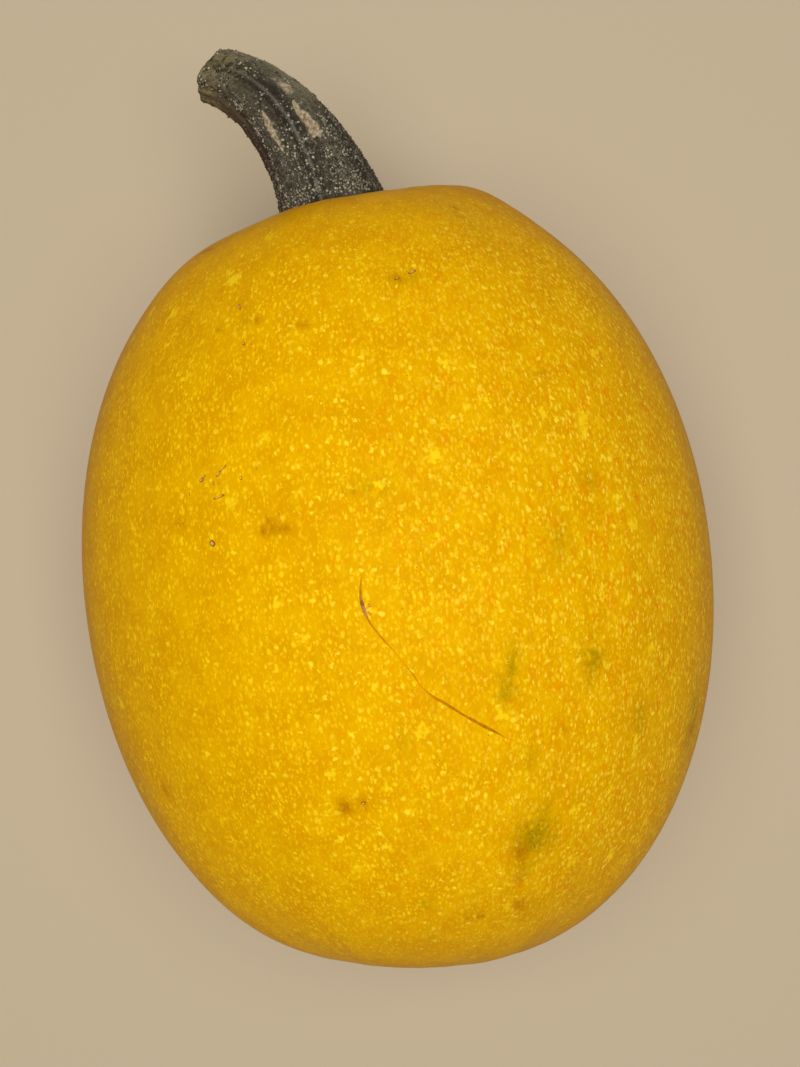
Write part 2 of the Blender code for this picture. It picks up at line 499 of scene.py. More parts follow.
def add_small_flecks(m, colour):
    """Grains, round flecks of two sizes, and dashes, all paler than the ground."""
    crowded = m.step(m.cloud(m.drawn_out(0.45), 0.0065, 2.0), 0.36, 0.60)
    crowded = m.times(m.crisp, m.range(crowded, 0.6, 1.0))
    grains = m.times(m.step(m.cloud(m.loose, 0.00062, 1.0), 0.54, 0.66), 0.42)
    colour = m.blend(m.times(grains, m.crisp), colour, tone(262, 203, 4))
    round_ones = m.times(crowded, m.range(m.side, 1.0, 0.65))
    fine = m.spots(m.loose, 0.00076, 0.00043, seed=3.1, faintest=0.4, edge=0.4)
    colour = m.blend(m.times(fine, round_ones), colour, tone(268, 219, 18))
    second = m.spots(m.loose, 0.00114, 0.00058, seed=6.4, faintest=0.35, edge=0.4)
    second_tone = m.blend(m.paler, tone(266, 216, 8), tone(268, 228, 34))
    colour = m.blend(m.times(second, round_ones), colour, second_tone)
    long_ones = m.warp(m.drawn_out(0.50), 0.0010, 0.00026)
    dashes = m.spots(long_ones, 0.00084, 0.00048, seed=8.3, least=0.2, faintest=0.4, edge=0.45)
    dashes = m.times(m.times(dashes, m.crisp), m.step(m.side, 0.25, 0.85))
    return m.blend(dashes, colour, tone(268, 226, 58))


def add_large_flecks(m, colour, large):
    """The largest flecks, and ragged blotches."""
    large_tone = m.blend(m.paler, tone(266, 222, 20), tone(268, 236, 56))
    colour = m.blend(m.times(large, m.range(m.crisp, 0.1, 1.0)), colour, large_tone)
    ragged = m.warp(m.skin, 0.0015, 0.0027)
    blotch = m.spots(ragged, 0.0082, 0.0022, seed=1.9, faintest=0.7, edge=0.25)
    return m.blend(m.times(blotch, m.range(m.crisp, 0.2, 0.95)), colour, tone(268, 227, 26))


def add_green_smudges(m, colour, green):
    """Green smudges with pale flecks and darker specks in them."""
    colour = m.blend(m.times(green, 0.80), colour, tone(168, 134, 0))
    pale = m.spots(m.loose, 0.00120, 0.00036, seed=4.6, faintest=0.2, edge=0.1)
    colour = m.blend(m.times(pale, green), colour, tone(236, 196, 50))
    specks = m.step(m.cloud(m.loose, 0.00045, 2.0), 0.56, 0.68)
    return m.blend(m.times(m.times(specks, green), 0.7), colour, tone(120, 100, 0))


def add_dots(m, colour, green):
    """Dark dots, more of them in the green smudges and towards +X, and some ringed with yellow."""
    away, chance, depth = m.cells(m.warp(m.skin, 0.0006, 0.00014), 0.0017, 9.2)
    share_dotted = m.math("ADD", m.range(m.side, 0.06, 0.45), m.times(green, 0.45))
    dotted = m.math("GREATER_THAN", share_dotted, chance)
    ring = m.times(m.step(away, 0.30, 0.16), m.times(m.step(depth, 0.4, 0.8), dotted))
    colour = m.blend(m.times(ring, 0.5), colour, tone(252, 208, 12))
    dot = m.times(m.step(away, 0.13, 0.04), m.times(dotted, m.range(depth, 0.2, 0.9)))
    return m.blend(dot, colour, tone(112, 84, 2))


def add_stains(m, colour, cork):
    """Brown smudges, the pale patch that lay on the ground, and the corky ends."""
    brown = m.times(m.attribute("brown"), m.step(m.cloud(m.roundish, 0.0010, 3.0), 0.24, 0.50))
    colour = m.blend(m.times(brown, 0.95), colour, tone(180, 104, 0))
    ground = m.times(m.attribute("ground"), m.step(m.cloud(m.skin, 0.012, 4.0), 0.30, 0.55))
    colour = m.blend(m.times(ground, 0.65), colour, tone(236, 196, 96))
    cork_tone = m.blend(m.cloud(m.skin, 0.0007, 3.0), tone(96, 68, 36), tone(176, 140, 92))
    return m.blend(cork, colour, cork_tone)


def make_rind_material():
    m = RindMaker()
    large = m.spots(m.roundish, 0.0021, 0.00080, seed=7.7, faintest=0.45, edge=0.3)
    patch = m.step(m.cloud(m.warp(m.streaky, 0.0016, 0.0012), 0.0022, 3.0), 0.26, 0.56)
    green = m.times(m.attribute("green"), patch)
    cork = m.attribute("cork")
    colour = add_small_flecks(m, rind_ground(m))
    colour = add_large_flecks(m, colour, large)
    colour = add_green_smudges(m, colour, green)
    colour = add_stains(m, add_dots(m, colour, green), cork)
    smooth = m.range(m.cloud(m.skin, 0.006, 3.0), 0.38, 0.54)
    roughness = m.math("ADD", smooth, m.math("MULTIPLY", cork, 0.35))
    m.surface.inputs["Specular Tint"].default_value = (1.0, 0.80, 0.15, 1.0)
    grain = m.bump(m.cloud(m.streaky, 0.0009, 3.0), 0.00010, 0.5)
    m.feed(m.surface.inputs["Normal"], m.bump(large, 0.00005, 0.5, grain))
    return m.finish(colour, roughness, shine=0.035)


# The fine relief of the rind
SWELL_SIZE = 0.011
SWELL_HEIGHT = 0.00022
FINE_SWELL_SIZE = 0.004
FINE_SWELL_HEIGHT = 0.00012
END_LATITUDE = 1  # the ends of the fruit, with the scar and the stalk, are beyond this
SCAR_RADIUS = 0.0030  # of the wrinkled blossom scar
SCAR_FOLDS = 9
SCAR_CURL = 500  # radians that the folds turn for each metre outwards
SCAR_FOLD_HEIGHT = 0.00018
SCAR_TIP_HEIGHT = 0.0004
SCAR_TIP_RADIUS = 0.0024
RELIEF_FADE = 0.01  # the relief fades out over this height above the floor


def rind_relief(points, skin, girth, latitude):
    """How far the fine rind stands out from its plain form: long shallow swells, and a wrinkled scar."""
    swell = noise_at(skin * (1, 0.16, 1), SWELL_SIZE, seed=4.0) * SWELL_HEIGHT
    swell += noise_at(skin * (1, 0.30, 1), FINE_SWELL_SIZE, seed=8.0) * FINE_SWELL_HEIGHT * (1 - girth)
    height = points[:, 2] - AXIS_HEIGHT
    from_scar = np.hypot(points[:, 0], height)
    folds = np.cos(SCAR_FOLDS * np.arctan2(height, points[:, 0]) + from_scar * SCAR_CURL)
    scar = folds * SCAR_FOLD_HEIGHT + SCAR_TIP_HEIGHT * bell(from_scar, SCAR_TIP_RADIUS)
    scar = scar * bell(from_scar - SCAR_RADIUS, SCAR_RADIUS)
    swell += scar * (latitude < -END_LATITUDE)
    return swell * np.clip(points[:, 2] / RELIEF_FADE, 0, 1)


# Where the rind's material has what
CRISP_GIRTH = 0.34  # the flecks are faintest below this share of the full girth, near the ends
CRISP_GIRTH_RANGE = 0.45
CRISP_LEAST = 0.12
SIDE_MIDDLE = 0.40  # the side mask's value half way across: it grows towards +X
SIDE_WIDTH = 0.09
GROUND_HALF_WIDTH = 0.034  # of the patch that lay on the ground
GROUND_HALF_LENGTH = 0.046
SCAR_CORK_RADIUS = 0.0034
SEAT_RADIUS = 0.0130  # of the corky ring round the stalk
SEAT_WIDTH = 0.0012
SEAT_SHARE = 0.6


def cork_mask(points, latitude):
    """1 where the rind is corky: at the blossom scar, and more weakly round the stalk."""
    height = points[:, 2] - AXIS_HEIGHT
    from_scar = np.hypot(points[:, 0], height)
    from_seat = np.hypot(points[:, 0] - STALK_ROOT[0], height)
    scar = (latitude < -END_LATITUDE) * bell(from_scar, SCAR_CORK_RADIUS)
    seat = (latitude > END_LATITUDE) * bell(from_seat - SEAT_RADIUS, SEAT_WIDTH) * SEAT_SHARE
    return np.clip(scar + seat, 0, 1)


def set_rind_masks(mesh, tree, points, latitude, girth):
    """Stores what the rind's material reads, apart from its coordinates."""
    height = points[:, 2] - AXIS_HEIGHT
    crisp = np.clip((girth - CRISP_GIRTH) / CRISP_GIRTH_RANGE, CRISP_LEAST, 1)
    faded = (1 - np.tanh((height - FADE_HEIGHT) / FADE_DEPTH)) / 2
    from_ground = np.hypot(points[:, 0] / GROUND_HALF_WIDTH, points[:, 1] / GROUND_HALF_LENGTH)
    green = shown_smudges(tree, GREEN_SMUDGES) + hidden_smudges(HIDDEN_GREEN_SMUDGES, seed=5)
    brown = shown_smudges(tree, BROWN_SMUDGES) + hidden_smudges(HIDDEN_BROWN_SMUDGES, seed=6)
    store(mesh, "crisp", crisp * (1 - FADE_SHARE * faded))
    # Painted shade: how low a point lies on the rind, used to darken the lower sides.
    store(mesh, "low", np.clip(1 - height / HALF_HEIGHT, 0, 1) ** 2)
    store(mesh, "side", np.clip(SIDE_MIDDLE + points[:, 0] / SIDE_WIDTH, 0, 1))
    store(mesh, "green", smudge_mask(points, green))
    store(mesh, "brown", smudge_mask(points, brown))
    store(mesh, "ground", bell(from_ground, 1.0) * (height < 0))
    store(mesh, "cork", cork_mask(points, latitude))


def rind_ball():
    """A plain ball of the rind's faces, and the latitude and angle of each of its points."""
    bm = bmesh.new()
    bmesh.ops.create_uvsphere(bm, u_segments=FRUIT_SIDES, v_segments=FRUIT_RINGS, radius=1)
    mesh = bpy.data.meshes.new("rind")
    bm.to_mesh(mesh)
    bm.free()
    unit = coordinates(mesh)
    latitude = np.arcsin(np.clip(unit[:, 2], -1, 1))
    latitude += POLE_CROWDING * np.sin(2 * latitude)
    return mesh, latitude, np.arctan2(-unit[:, 1], unit[:, 0])


def make_fruit():
    """The rind, finer than its solid. Returns its faces, ready for rays."""
    mesh, latitude, angle = rind_ball()
    points, girth = fruit_points(latitude, angle)
    skin = skin_coordinates(latitude, angle, girth)
    outward = points - np.array((0, 0, AXIS_HEIGHT))
    outward /= lengths(outward)
    points += outward * rind_relief(points, skin, girth, latitude)[:, None]
    points[:, 2] = 0.5 * (points[:, 2] + np.sqrt(points[:, 2] ** 2 + FLAT_SOFTNESS**2))
    set_coordinates(mesh, points)
    tree = surface_tree(mesh)
    store(mesh, "skin", skin)
    set_rind_masks(mesh, tree, points, latitude, girth)
    add_piece("rind", mesh, make_rind_material(), replaces="fruit")
    return tree


# The healed scratches and the corky marks of the rind

# The scratch that shows, point by point: pixel, half-width in millimetres, how brown, and how swollen
SCRATCH = (
    (361.7, 574, 0.04, 0.3, 0.0),
    (360.7, 585, 0.18, 0.7, 0.0),
    (360.7, 597, 0.24, 0.9, 0.3),
    (362.4, 605, 0.32, 0.9, 1.0),
    (365.6, 614, 0.26, 0.9, 0.5),
    (369.5, 622, 0.16, 0.6, 0.1),
    (376.1, 631, 0.12, 0.6, 0.0),
    (384.5, 641, 0.14, 0.7, 0.0),
    (392.9, 650, 0.08, 0.2, 0.0),
    (404.1, 664, 0.06, 0.1, 0.0),
    (413.3, 675, 0.15, 0.6, 0.0),
    (421.0, 686, 0.08, 0.3, 0.0),
    (432.2, 696, 0.20, 0.8, 0.0),
    (446.2, 704, 0.25, 1.0, 0.0),
    (460.3, 713, 0.22, 1.0, 0.0),
    (474.3, 721, 0.24, 1.0, 0.0),
    (485.5, 727, 0.28, 1.0, 0.0),
    (495.3, 732, 0.20, 0.9, 0.0),
    (506.5, 738, 0.08, 0.3, 0.0),
    (514.2, 741, 0.04, 0.3, 0.0),
)
SCRATCH_STEPS = 5
SCRATCH_HEIGHT = 0.00009
SCRATCH_RAGGEDNESS = 0.3
SCRATCH_GRAIN = 0.0016
SCRATCH_SECTION = (
    (-1.5, -1.5),
    (-1.0, 0.5),
    (-0.5, 1.0),
    (0.0, 0.4),
    (0.5, 1.0),
    (1.0, 0.5),
    (1.5, -1.5),
    (0.0, -2.5),
)


def scratch_mesh(name, centres, normals, half_widths, brown, swollen):
    """A low double lip along a path on the rind, closed underneath."""
    ahead = np.gradient(centres, axis=0)
    across = np.cross(ahead, normals)
    across /= lengths(across)
    widths = half_widths * (1 + SCRATCH_RAGGEDNESS * noise_at(centres, SCRATCH_GRAIN, seed=3.0))
    columns = []
    for sideways, up in SCRATCH_SECTION:
        columns.append(centres + across * (widths * sideways)[:, None] + normals * SCRATCH_HEIGHT * up)
    vertices = np.stack(columns, axis=1)
    rows, sides = vertices.shape[:2]
    faces = [tuple(reversed(range(sides))), tuple(range((rows - 1) * sides, rows * sides))]
    for row in range(rows - 1):
        for side in range(sides):
            following = (side + 1) % sides
            low = row * sides
            faces.append((low + side, low + following, low + sides + following, low + sides + side))
    mesh = bpy.data.meshes.new(name)
    mesh.from_pydata(vertices.reshape(-1, 3).tolist(), [], faces)
    groove = [1.0 if sideways == 0 else 0.0 for sideways, _ in SCRATCH_SECTION]
    store(mesh, "groove", np.tile(groove, rows))
    store(mesh, "brown", np.repeat(brown, sides))
    store(mesh, "swollen", np.repeat(swollen, sides))
    return mesh


def make_scratch_material():
    m = Maker("healed_scratch")
    place = m.place()
    patchy = m.cloud(place, 0.0014, 3.0, 0.6)
    brown = m.blend(m.step(patchy, 0.35, 0.62), tone(188, 116, 0), tone(212, 142, 0))
    colour = m.blend(m.attribute("brown"), tone(238, 166, 0), brown)
    mauve = m.blend(m.step(patchy, 0.40, 0.60), tone(148, 92, 36), tone(194, 142, 100))
    colour = m.blend(m.attribute("swollen"), colour, mauve)
    groove = m.times(m.attribute("groove"), m.times(m.attribute("brown"), 0.45))
    colour = m.blend(groove, colour, tone(160, 94, 0))
    m.feed(m.surface.inputs["Normal"], m.bump(m.cloud(place, 0.0004, 3.0), 0.0001, 0.6))
    return m.finish(colour, roughness=0.65, shine=0.05)


# More scratches on the side that the photograph doesn't show: start and end, as latitude and angle
FAR_SCRATCHES = (
    ((-0.55, 5.35), (0.05, 5.05)),
    ((0.30, 3.75), (0.42, 4.15)),
)
FAR_SCRATCH_ROWS = 60
FAR_SCRATCH_HALF_WIDTH = 0.00022
FAR_SCRATCH_SWAY = 0.03  # radians, to each side
FAR_SCRATCH_SWAY_RATE = 9


def make_shown_scratch(tree, material):
    course = smooth_path(SCRATCH, SCRATCH_STEPS)
    seen = [seen_at(tree, pixel) for pixel in course[:, :2]]
    centres = np.array([place for place, _ in seen])
    normals = np.array([normal for _, normal in seen])
    half_widths, brown, swollen = course[:, 2] / 1000, course[:, 3], course[:, 4]
    mesh = scratch_mesh("healed_scratch", centres, normals, half_widths, brown, np.clip(swollen, 0, 1))
    add_piece("healed_scratch", mesh, material)


def make_hidden_scratch(tree, material, name, start, end):
    """A wavy scratch that narrows to nothing at both ends."""
    route = np.linspace(start, end, FAR_SCRATCH_ROWS)
    sway = FAR_SCRATCH_SWAY * np.sin(route[:, 0] * FAR_SCRATCH_SWAY_RATE)
    guide, _ = fruit_points(route[:, 0], route[:, 1] + sway)
    found = [tree.find_nearest(Vector(point)) for point in guide]
    centres = np.array([place for place, _, _, _ in found])
    normals = np.array([normal for _, normal, _, _ in found])
    fade = np.sqrt(np.sin(np.linspace(0.01, math.pi - 0.01, FAR_SCRATCH_ROWS)))
    half_widths = FAR_SCRATCH_HALF_WIDTH * fade
    mesh = scratch_mesh(name, centres, normals, half_widths, fade, np.zeros(FAR_SCRATCH_ROWS))
    add_piece(name, mesh, material)


def make_scratches(tree):
    material = make_scratch_material()
    make_shown_scratch(tree, material)
    for index, (start, end) in enumerate(FAR_SCRATCHES):
        make_hidden_scratch(tree, material, f"far_side_scratch_{index + 1}", start, end)


# Each corky mark: the pixels it runs between, half its width in millimetres, and how dark its rim is
CORKY_MARKS = (
    ((212, 543), (213, 544), 0.46, 1.0),
    ((215, 498.5), (222.5, 495.5), 0.24, 0.45),
    ((217.3, 475.5), (219.5, 472.5), 0.24, 0.5),
    ((220.5, 471), (225.5, 466), 0.11, 0.7),
    ((201, 480.5), (202, 480), 0.32, 0.8),
    ((203.5, 477), (204.5, 476), 0.24, 0.6),
    ((213.3, 482.5), (213.6, 484), 0.18, 0.6),
    ((218.3, 483), (218.6, 484), 0.16, 0.4),
    ((240.6, 477.5), (241, 478.5), 0.26, 0.3),
    ((189, 493.5), (189.3, 494.5), 0.18, 0.4),
    ((256, 468), (256.5, 468.5), 0.20, 0.3),
    ((278.3, 513), (278.6, 513.6), 0.19, 0.4),
    ((363, 803), (364, 803.2), 0.28, 1.0),
    ((277.7, 522), (278.3, 522.5), 0.20, 0.35),
    ((410, 273), (414, 271), 0.28, 0.6),
    ((396, 279), (398, 278), 0.20, 1.0),
    ((243, 343), (244, 344), 0.28, 0.6),
    ((239, 305), (240, 309), 0.18, 0.7),
    ((369, 605), (369.6, 606), 0.18, 0.5),
    ((368.8, 613), (370, 614), 0.20, 0.4),
)
MARK_HEIGHT = 0.00012
MARK_SHAPE = {
    "profile": ((1.35, -1.0), (1.05, 0.5), (0.85, 1.0), (0.62, 0.7), (0.45, 0.2)),
    "middle": 0.1,
    "sides": 20,
}

# Corky marks of the side that the photograph doesn't show, each drawn at random from these ranges
HIDDEN_MARKS = 22
MARK_ANGLES = (1.08, 1.92)  # in half turns
MARK_LATITUDES = (-0.9, 0.9)
MARK_HALF_WIDTHS = (0.00018, 0.00045)
MARK_STRENGTHS = (0.2, 1.0)
MARK_STRETCHES = (1.0, 2.4)


def make_mark_material():
    m = Maker("corky_mark")
    place = m.place()
    patchy = m.step(m.cloud(place, 0.0005, 3.0), 0.35, 0.65)
    dark_rim = m.blend(patchy, tone(104, 62, 4), tone(146, 88, 4))
    rim = m.blend(m.attribute("strength"), tone(194, 126, 0), dark_rim)
    strong = m.step(m.attribute("strength"), 0.35, 0.65)
    middle = m.blend(strong, tone(244, 196, 52), tone(224, 172, 108))
    colour = m.blend(m.step(m.attribute("inward"), 0.10, 0.42), rim, middle)
    return m.finish(colour, roughness=0.75, shine=0.05)


def shown_mark(tree, start, end, half_width_in_mm, strength):
    """The place, axis, long axis, radii and strength of a mark that runs between two pixels."""
    first, normal = seen_at(tree, start)
    last, _ = seen_at(tree, end)
    along = last - first
    half_width = half_width_in_mm / 1000
    radii = (half_width + float(lengths(along)[0]) / 2, half_width)
    return (first + last) / 2, normal, along, radii, strength


def hidden_mark(tree, draw):
    """The same for a mark at random on the far side."""
    angle = draw.uniform(*MARK_ANGLES) * math.pi
    latitude = draw.uniform(*MARK_LATITUDES)
    guide, _ = fruit_points(np.array([latitude]), np.array([angle]))
    place, normal, _, _ = tree.find_nearest(Vector(guide[0]))
    half_width = draw.uniform(*MARK_HALF_WIDTHS)
    strength = draw.uniform(*MARK_STRENGTHS)
    along = draw.normal(size=3)
    radii = (half_width * draw.uniform(*MARK_STRETCHES), half_width)
    return np.array(place), np.array(normal), along, radii, strength


def make_marks(tree):
    """Low corky rings with a paler middle: the ones that show, and more at random on the far side."""
    draw = np.random.default_rng(11)
    marks = [shown_mark(tree, *mark) for mark in CORKY_MARKS]
    marks += [hidden_mark(tree, draw) for _ in range(HIDDEN_MARKS)]
    places, axes, long_axes, radii, strengths = (np.array(column) for column in zip(*marks))
    heights = np.full(len(places), MARK_HEIGHT)
    mesh = bump_mesh("corky_marks", places, axes, long_axes, radii, heights, strengths, **MARK_SHAPE)
    add_piece("corky_marks", mesh, make_mark_material())


# The stalk

TANGENT_STEP = 0.01  # share of the length, to each side, that a direction is taken over


def stalk_centre(share):
    """The centreline at an array of shares of the length."""
    left = 1 - share
    weights = (left**3, 3 * left**2 * share, 3 * left * share**2, share**3)
    parts = [weight[:, None] * np.array(point) for weight, point in zip(weights, STALK_PATH)]
    return STALK_ROOT + sum(parts)


def stalk_frame(share):
    """The centreline and its forward, right and up directions, at an array of shares of the length."""
    ahead = stalk_centre(share + TANGENT_STEP) - stalk_centre(share - TANGENT_STEP)
    forward = ahead / lengths(ahead)
    right = np.cross(forward, (0, 0, 1))
    right /= lengths(right)
    return stalk_centre(share), forward, right, np.cross(right, forward)


def from_furrow(angle):
    """The angle away from the nearest furrow, in radians."""
    turn = 2 * math.pi / STALK_RIBS
    return (angle + turn / 2) % turn - turn / 2


def on_crest(angle):
    """1 on the crest of a main rib, 0 in a furrow."""
    return np.sin(STALK_RIBS * angle / 2) ** 2


# The smooth flanks inside and outside the bend
INNER_ANGLE = 1.5 * math.pi
INNER_WIDTH = 0.55
INNER_WIDENING = 0.2
OUTER_ANGLE = 0.34 * math.pi
OUTER_WIDTH = 0.42
OUTER_START = 0.40
OUTER_FADE = 0.2


def on_inner_side(share, angle):
    """1 on the smooth flank inside the bend."""
    return bell(angle - INNER_ANGLE, INNER_WIDTH + INNER_WIDENING * share)


def on_outer_side(share, angle):
    """1 on the smooth flank outside the bend, which begins half way up."""
    return bell(angle - OUTER_ANGLE, OUTER_WIDTH) * np.clip((share - OUTER_START) / OUTER_FADE, 0, 1)


STALK_LENGTH = 0.056  # of the centreline, for the grain
CUT_DISH = 0.0014  # how far the middle of the cut has sunk in as it dried
WRINKLE_SIZE = 0.0024
WRINKLE_HEIGHT = 0.00040
FINE_WRINKLE_SIZE = 0.0009
FINE_WRINKLE_HEIGHT = 0.00022


def stalk_points(share, angle, outward):
    """Points of the stalk. Angle 0 faces up, and outward is 1 on the side and 0 on the centreline."""
    centre, forward, right, up = stalk_frame(share)
    radius = STALK_NECK_RADIUS - (STALK_NECK_RADIUS - STALK_TIP_RADIUS) * share**STALK_TAPER_POWER
    radius = radius + STALK_FLARE * bell(share, STALK_FLARE_SHARE)
    section = 1 - FURROW_SHARE * (1 - on_crest(angle))
    section = section + MINOR_RIB_SHARE * bell(from_furrow(angle), MINOR_RIB_WIDTH)
    grain = np.stack((radius * np.cos(angle), radius * np.sin(angle), share * STALK_LENGTH), axis=-1)
    relief = noise_at(grain * (1, 1, 0.22), WRINKLE_SIZE, seed=2.0) * WRINKLE_HEIGHT
    relief += noise_at(grain * (1, 1, 0.45), FINE_WRINKLE_SIZE, seed=6.0) * FINE_WRINKLE_HEIGHT
    radius = outward * (radius * section + relief)
    grain[:, :2] *= outward[:, None]
    twist = TWIST_ROOT + (TWIST_TIP - TWIST_ROOT) * share
    sideways = radius * np.sin(angle + twist)
    upward = radius * np.cos(angle + twist)
    cut = (CUT_OVERHANG * upward - CUT_SLANT * sideways) * share**CUT_POWER / STALK_TIP_RADIUS
    cut = cut - CUT_DISH * (share == 1) * (1 - outward**4)
    points = centre + right * sideways[:, None] + up * upward[:, None] + forward * cut[:, None]
    return points, grain


# Pale scraped streaks, point by point: pixel, half-width in millimetres, strength
SCRAPED_STREAKS = (
    (
        (293.5, 101.0, 0.5, 0.7),
        (296.5, 107.5, 0.8, 1.0),
        (301.5, 113.5, 0.9, 1.0),
        (307.0, 118.5, 1.1, 1.0),
        (312.0, 125.0, 1.4, 1.0),
        (315.5, 132.0, 1.5, 1.0),
    ),
    (
        (262.5, 111.5, 0.4, 0.7),
        (266.0, 119.0, 0.8, 1.0),
        (270.0, 127.0, 0.9, 1.0),
        (275.0, 136.0, 0.7, 0.9),
        (280.5, 146.0, 0.5, 0.7),
        (283.0, 152.0, 0.4, 0.5),
    ),
    (
        (272.0, 78.5, 0.6, 0.4),
        (280.0, 83.5, 1.0, 0.5),
        (287.0, 87.5, 1.3, 0.6),
        (291.5, 92.0, 0.8, 0.5),
    ),
)
STREAK_STEPS = 4


def scraped_places(tree):
    """Where the scraped streaks run on the stalk, with the half-width and the strength at each place."""
    courses = [smooth_path(streak, STREAK_STEPS) for streak in SCRAPED_STREAKS]
    return [(seen_at(tree, row[:2])[0], row[2] / 1000, row[3]) for course in courses for row in course]


SCRAPE_RAGGEDNESS = 0.55
SCRAPE_GRAIN = 0.0010


def scraped_mask(places, points):
    """How much each point is scraped, from 0 to 1, with a ragged outline."""
    ragged = 1 + SCRAPE_RAGGEDNESS * noise_at(points, SCRAPE_GRAIN, seed=5.0)
    mask = np.zeros(len(points))
    for centre, radius, strength in places:
        mask = np.maximum(mask, strength * bell(lengths(points - centre)[:, 0] * ragged, radius))
    return mask


class StalkMaker(Maker):
    """Has the coordinates and noise that the layers of the stalk's colour share."""

    def __init__(self):
        super().__init__("dried_stalk")
        self.grain = self.attribute("grain", "Vector")
        self.share = self.attribute("share")
        self.fibres = self.drawn_out(0.16)
        self.mottled = self.cloud(self.grain, 0.0009, 4.0, 0.7)

    def drawn_out(self, share):
        """Coordinates for marks that are longer along the stalk: the smaller the share, the longer."""
        return self.vector("MULTIPLY", self.grain, (1.0, 1.0, share))


def stalk_ground(m):
    """Grey-brown, paler on the crests, with painted shade in the furrows beside each thin rib."""
    patchy = m.cloud(m.drawn_out(0.5), 0.003, 4.0, 0.6)
    colour = m.blend(m.step(patchy, 0.35, 0.65), tone(45, 38, 27), tone(74, 67, 49))
    crest = m.step(m.attribute("crest"), 0.35, 1.0)
    colour = m.blend(m.times(crest, 0.4), colour, tone(104, 97, 78))
    colour = m.blend(m.times(m.step(m.mottled, 0.52, 0.30), 0.75), colour, tone(38, 32, 24))
    colour = m.blend(m.times(m.step(m.mottled, 0.52, 0.70), 0.55), colour, tone(140, 134, 114))
    lines = m.step(m.cloud(m.fibres, 0.0007, 3.0, 0.6), 0.52, 0.70)
    colour = m.blend(m.times(lines, 0.22), colour, tone(132, 124, 104))
    # Painted shade: the furrows beside each thin rib are darkened, most of all beside the topmost furrow.
    groove = m.times(m.attribute("groove"), m.range(m.mottled, 0.5, 1.0))
    colour = m.blend(groove, colour, tone(40, 33, 23))
    thin_rib = m.times(m.attribute("thin_rib"), m.range(m.mottled, 0.4, 1.0))
    return m.blend(thin_rib, colour, tone(128, 123, 112))


def add_flanks(m, colour):
    """The smooth inner and outer flanks, the outer one partly painted light, and the mossy tip."""
    smooth = m.step(m.mottled, 0.20, 0.45)
    inner = m.times(m.attribute("inner_side"), smooth)
    inner_tone = m.blend(m.step(m.share, 0.45, 0.95), tone(80, 56, 43), tone(114, 96, 70))
    colour = m.blend(m.times(inner, 0.9), colour, inner_tone)
    # The outer flank is a paler smooth band, made paler still as painted light, standing in for the light
    # that falls on it.
    lit_outer_flank = m.times(m.attribute("outer_side"), smooth)
    colour = m.blend(m.times(lit_outer_flank, 0.9), colour, tone(154, 146, 114))
    tip = m.times(m.step(m.share, 0.70, 1.0), m.step(m.cloud(m.grain, 0.0016, 3.0), 0.40, 0.60))
    return m.blend(m.times(tip, 0.75), colour, tone(138, 126, 85))


def add_wear(m, colour):
    """Pale worn specks, thickest towards the fruit, and the scraped patches."""
    loose = m.warp(m.grain, 0.0006, 0.0003)
    specks = m.spots(loose, 0.00078, 0.00034, seed=2.4, least=0.1, faintest=0.3, edge=0.3)
    fewest = m.range(m.share, 0.25, 0.52)
    most = m.range(m.share, 0.55, 0.74)
    clusters = m.step(m.cloud(m.grain, 0.0035, 2.0), fewest, most)
    colour = m.blend(m.times(specks, clusters), colour, tone(190, 185, 170))
    uneven = m.math("MULTIPLY", m.attribute("scraped"), m.range(m.mottled, 0.7, 1.3))
    worn = m.blend(m.step(m.mottled, 0.36, 0.62), tone(134, 116, 89), tone(203, 183, 152))
    return m.blend(m.times(m.step(uneven, 0.20, 0.66), 0.92), colour, worn)


def add_cut(m, colour):
    """The wood of the cut, streaked, and darker in the middle."""
    cut = m.attribute("cut")
    streaks = m.cloud(m.drawn_out(0.0), 0.0011, 4.0, 0.65)
    wood = m.blend(m.step(streaks, 0.35, 0.65), tone(96, 78, 48), tone(178, 156, 112))
    wood = m.blend(m.step(cut, 0.55, 0.8), wood, tone(92, 72, 44))
    return m.blend(m.step(cut, 0.1, 0.3), colour, wood)


def make_stalk_material():
    m = StalkMaker()
    colour = add_cut(m, add_wear(m, add_flanks(m, stalk_ground(m))))
    rough = m.bump(m.cloud(m.fibres, 0.0006, 4.0, 0.65), 0.0003, 0.6)
    m.feed(m.surface.inputs["Normal"], m.bump(m.mottled, 0.0005, 0.8, rough))
    return m.finish(colour, roughness=0.82, shine=0.25)


def weld(mesh):
    """Joins the sheet's two long edges, and the points of each end, and turns every face outwards."""
    bm = bmesh.new()
    bm.from_mesh(mesh)
    bmesh.ops.remove_doubles(bm, verts=bm.verts, dist=0.00001)
    bmesh.ops.recalc_face_normals(bm, faces=bm.faces)
    bm.to_mesh(mesh)
    bm.free()


# The share of the rolled-up sheet's rows where the stalk's side starts and ends
SKIN_START = 0.03
SKIN_END = 0.90

THIN_RIB_WIDTH = 0.00036
THIN_RIB_END = 0.95
THIN_RIB_FADE = 0.45
# Where the painted shade of the furrows lies
GROOVE_OFFSET = 0.0013  # from the thin rib, on both sides of it
GROOVE_WIDTH = 0.0008
DEEP_GROOVE_OFFSET = 0.0019  # the darkest painted shade lies beside the topmost furrow, half way up
DEEP_GROOVE_WIDTH = 0.0011
DEEP_GROOVE_SHARE = 0.58
DEEP_GROOVE_SPREAD = 0.2


